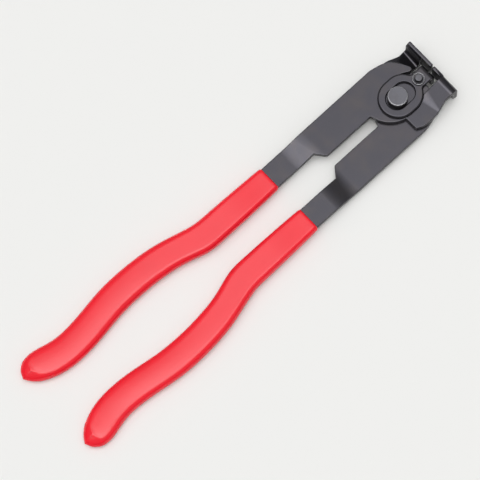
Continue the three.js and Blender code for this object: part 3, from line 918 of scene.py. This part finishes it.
def lay_floor(settings):
    """A plain floor that touches the pivot rivet's lower face and the underside of the grips."""
    rivet_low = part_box("pivot_rivet")[0]
    grip_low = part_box("left_grip")[0]
    foot = rivet_low[1]
    slope = math.atan((grip_low[2] - rivet_low[2]) / (foot + REST_REACH))
    bm = bmesh.new()
    bmesh.ops.create_grid(
        bm, x_segments=FLOOR_SEGMENTS, y_segments=FLOOR_SEGMENTS, size=FLOOR_SIZE / 2)
    lie = Matrix.Translation((0.0, foot, rivet_low[2])) @ Matrix.Rotation(-slope, 4, "X")
    bmesh.ops.transform(bm, matrix=lie, verts=bm.verts)
    mesh = bpy.data.meshes.new("floor")
    bm.to_mesh(mesh)
    bm.free()
    mesh.materials.append(paper(settings))
    floor = bpy.data.objects.new("floor", mesh)
    bpy.context.scene.collection.objects.link(floor)


# Where the large soft light lies, in degrees from straight up: where it starts, is full, stops
# being full and has faded out, first across the picture to its right and then up the picture
LIGHT_ACROSS = (-50.0, -8.0, 10.0, 20.0)
LIGHT_ALONG = (-32.0, -14.0, 3.0, 26.0)


def light_room(settings):
    """A dim room, darker towards its walls, with one large soft light above that fades outwards,
    and a thin band of the paper's colour that the floor meets far away."""
    world = bpy.data.worlds.new("room")
    world.use_nodes = True
    tree = world.node_tree
    tree.nodes.clear()
    heading = add_node(tree, "ShaderNodeTexCoord").outputs["Generated"]
    across = Vector((math.cos(settings.azimuth), math.sin(settings.azimuth), 0.0))
    along = Vector((-across.y, across.x, 0.0))
    inside = 1.0
    for axis, (start, full, end, gone) in ((across, LIGHT_ACROSS), (along, LIGHT_ALONG)):
        reach = add_node(
            tree, "ShaderNodeVectorMath", {0: heading, 1: axis}, operation="DOT_PRODUCT")
        for low, high, rises in ((start, full, True), (end, gone, False)):
            edge = add_node(tree, "ShaderNodeMapRange", {
                "Value": reach.outputs["Value"], "From Min": math.sin(math.radians(low)),
                "From Max": math.sin(math.radians(high)), "To Min": float(not rises),
                "To Max": float(rises)}, interpolation_type="SMOOTHSTEP")
            both = add_node(
                tree, "ShaderNodeMath", {0: inside, 1: edge.outputs["Result"]},
                operation="MULTIPLY")
            inside = both.outputs["Value"]
    light = add_node(tree, "ShaderNodeMapRange", {
        "Value": inside, "To Min": settings.room_level, "To Max": settings.light_level})
    height = add_node(tree, "ShaderNodeSeparateXYZ", {"Vector": heading}).outputs["Z"]
    walls = add_node(tree, "ShaderNodeMapRange", {
        "Value": height, "From Min": 0.0, "From Max": math.sin(settings.wall_height),
        "To Min": settings.wall_level, "To Max": 1.0}, interpolation_type="SMOOTHSTEP")
    strength = add_node(tree, "ShaderNodeMath", {
        0: light.outputs["Result"], 1: walls.outputs["Result"]}, operation="MULTIPLY")
    band = add_node(tree, "ShaderNodeMapRange", {
        "Value": height, "From Min": math.sin(settings.horizon),
        "From Max": math.sin(2 * settings.horizon), "To Min": 1.0, "To Max": 0.0},
        interpolation_type="SMOOTHSTEP")
    room = add_node(tree, "ShaderNodeBackground", {
        "Color": (1.0, 1.0, 1.0, 1.0), "Strength": strength.outputs["Value"]})
    far = add_node(tree, "ShaderNodeBackground", {"Color": settings.paper, "Strength": 1.0})
    mix = add_node(tree, "ShaderNodeMixShader", {
        0: band.outputs["Result"], 1: room.outputs["Background"], 2: far.outputs["Background"]})
    add_node(tree, "ShaderNodeOutputWorld", {"Surface": mix.outputs["Shader"]})
    bpy.context.scene.world = world


def place_camera(settings):
    """A long lens above the tool, at the photograph's angle."""
    azimuth = settings.azimuth
    elevation = settings.elevation
    back = Vector((
        math.sin(azimuth) * math.cos(elevation),
        -math.cos(azimuth) * math.cos(elevation),
        math.sin(elevation)))
    data = bpy.data.cameras.new("camera")
    data.lens = data.sensor_width * settings.distance / settings.picture_width
    camera = bpy.data.objects.new("camera", data)
    place = Matrix.Translation(Vector(settings.target) + back * settings.distance)
    facing = (-back).to_track_quat("-Z", "Y").to_matrix().to_4x4()
    camera.matrix_world = place @ facing @ Matrix.Rotation(settings.roll, 4, "Z")
    bpy.context.scene.collection.objects.link(camera)
    bpy.context.scene.camera = camera


class PLIERS_OT_stage(bpy.types.Operator):
    """Set the floor, the light and the camera"""

    bl_idname = "pliers.stage"
    bl_label = "Stage"

    def execute(self, context):
        stage = context.scene.pliers_stage
        lay_floor(stage)
        light_room(stage)
        place_camera(stage)
        context.scene.view_settings.view_transform = "Standard"
        return {"FINISHED"}


OPERATORS = (
    PLIERS_OT_handles, PLIERS_OT_ear_plate, PLIERS_OT_rivets, PLIERS_OT_grips, PLIERS_OT_stage)


class PLIERS_PT_panel(bpy.types.Panel):
    """Lists the steps that dress the pliers"""

    bl_label = "Ear Clamp Pliers"
    bl_idname = "PLIERS_PT_panel"
    bl_space_type = "VIEW_3D"
    bl_region_type = "UI"
    bl_category = "Pliers"

    def draw(self, context):
        for operator in OPERATORS:
            self.layout.operator(operator.bl_idname)


CLASSES = (SteelSettings, GripSettings, StageSettings, *OPERATORS, PLIERS_PT_panel)


def register():
    """Adds the settings, the operators and the panel to Blender."""
    for each in CLASSES:
        bpy.utils.register_class(each)
    bpy.types.Scene.pliers_steel = PointerProperty(type=SteelSettings)
    bpy.types.Scene.pliers_grips = PointerProperty(type=GripSettings)
    bpy.types.Scene.pliers_stage = PointerProperty(type=StageSettings)


def unregister():
    """Takes them out again."""
    del bpy.types.Scene.pliers_stage
    del bpy.types.Scene.pliers_grips
    del bpy.types.Scene.pliers_steel
    for each in reversed(CLASSES):
        bpy.utils.unregister_class(each)


def main():
    """Dresses the pliers and sets the stage."""
    register()
    bpy.ops.pliers.handles()
    bpy.ops.pliers.ear_plate()
    bpy.ops.pliers.rivets()
    bpy.ops.pliers.grips()
    bpy.ops.pliers.stage()


if __name__ == "__main__":
    main()
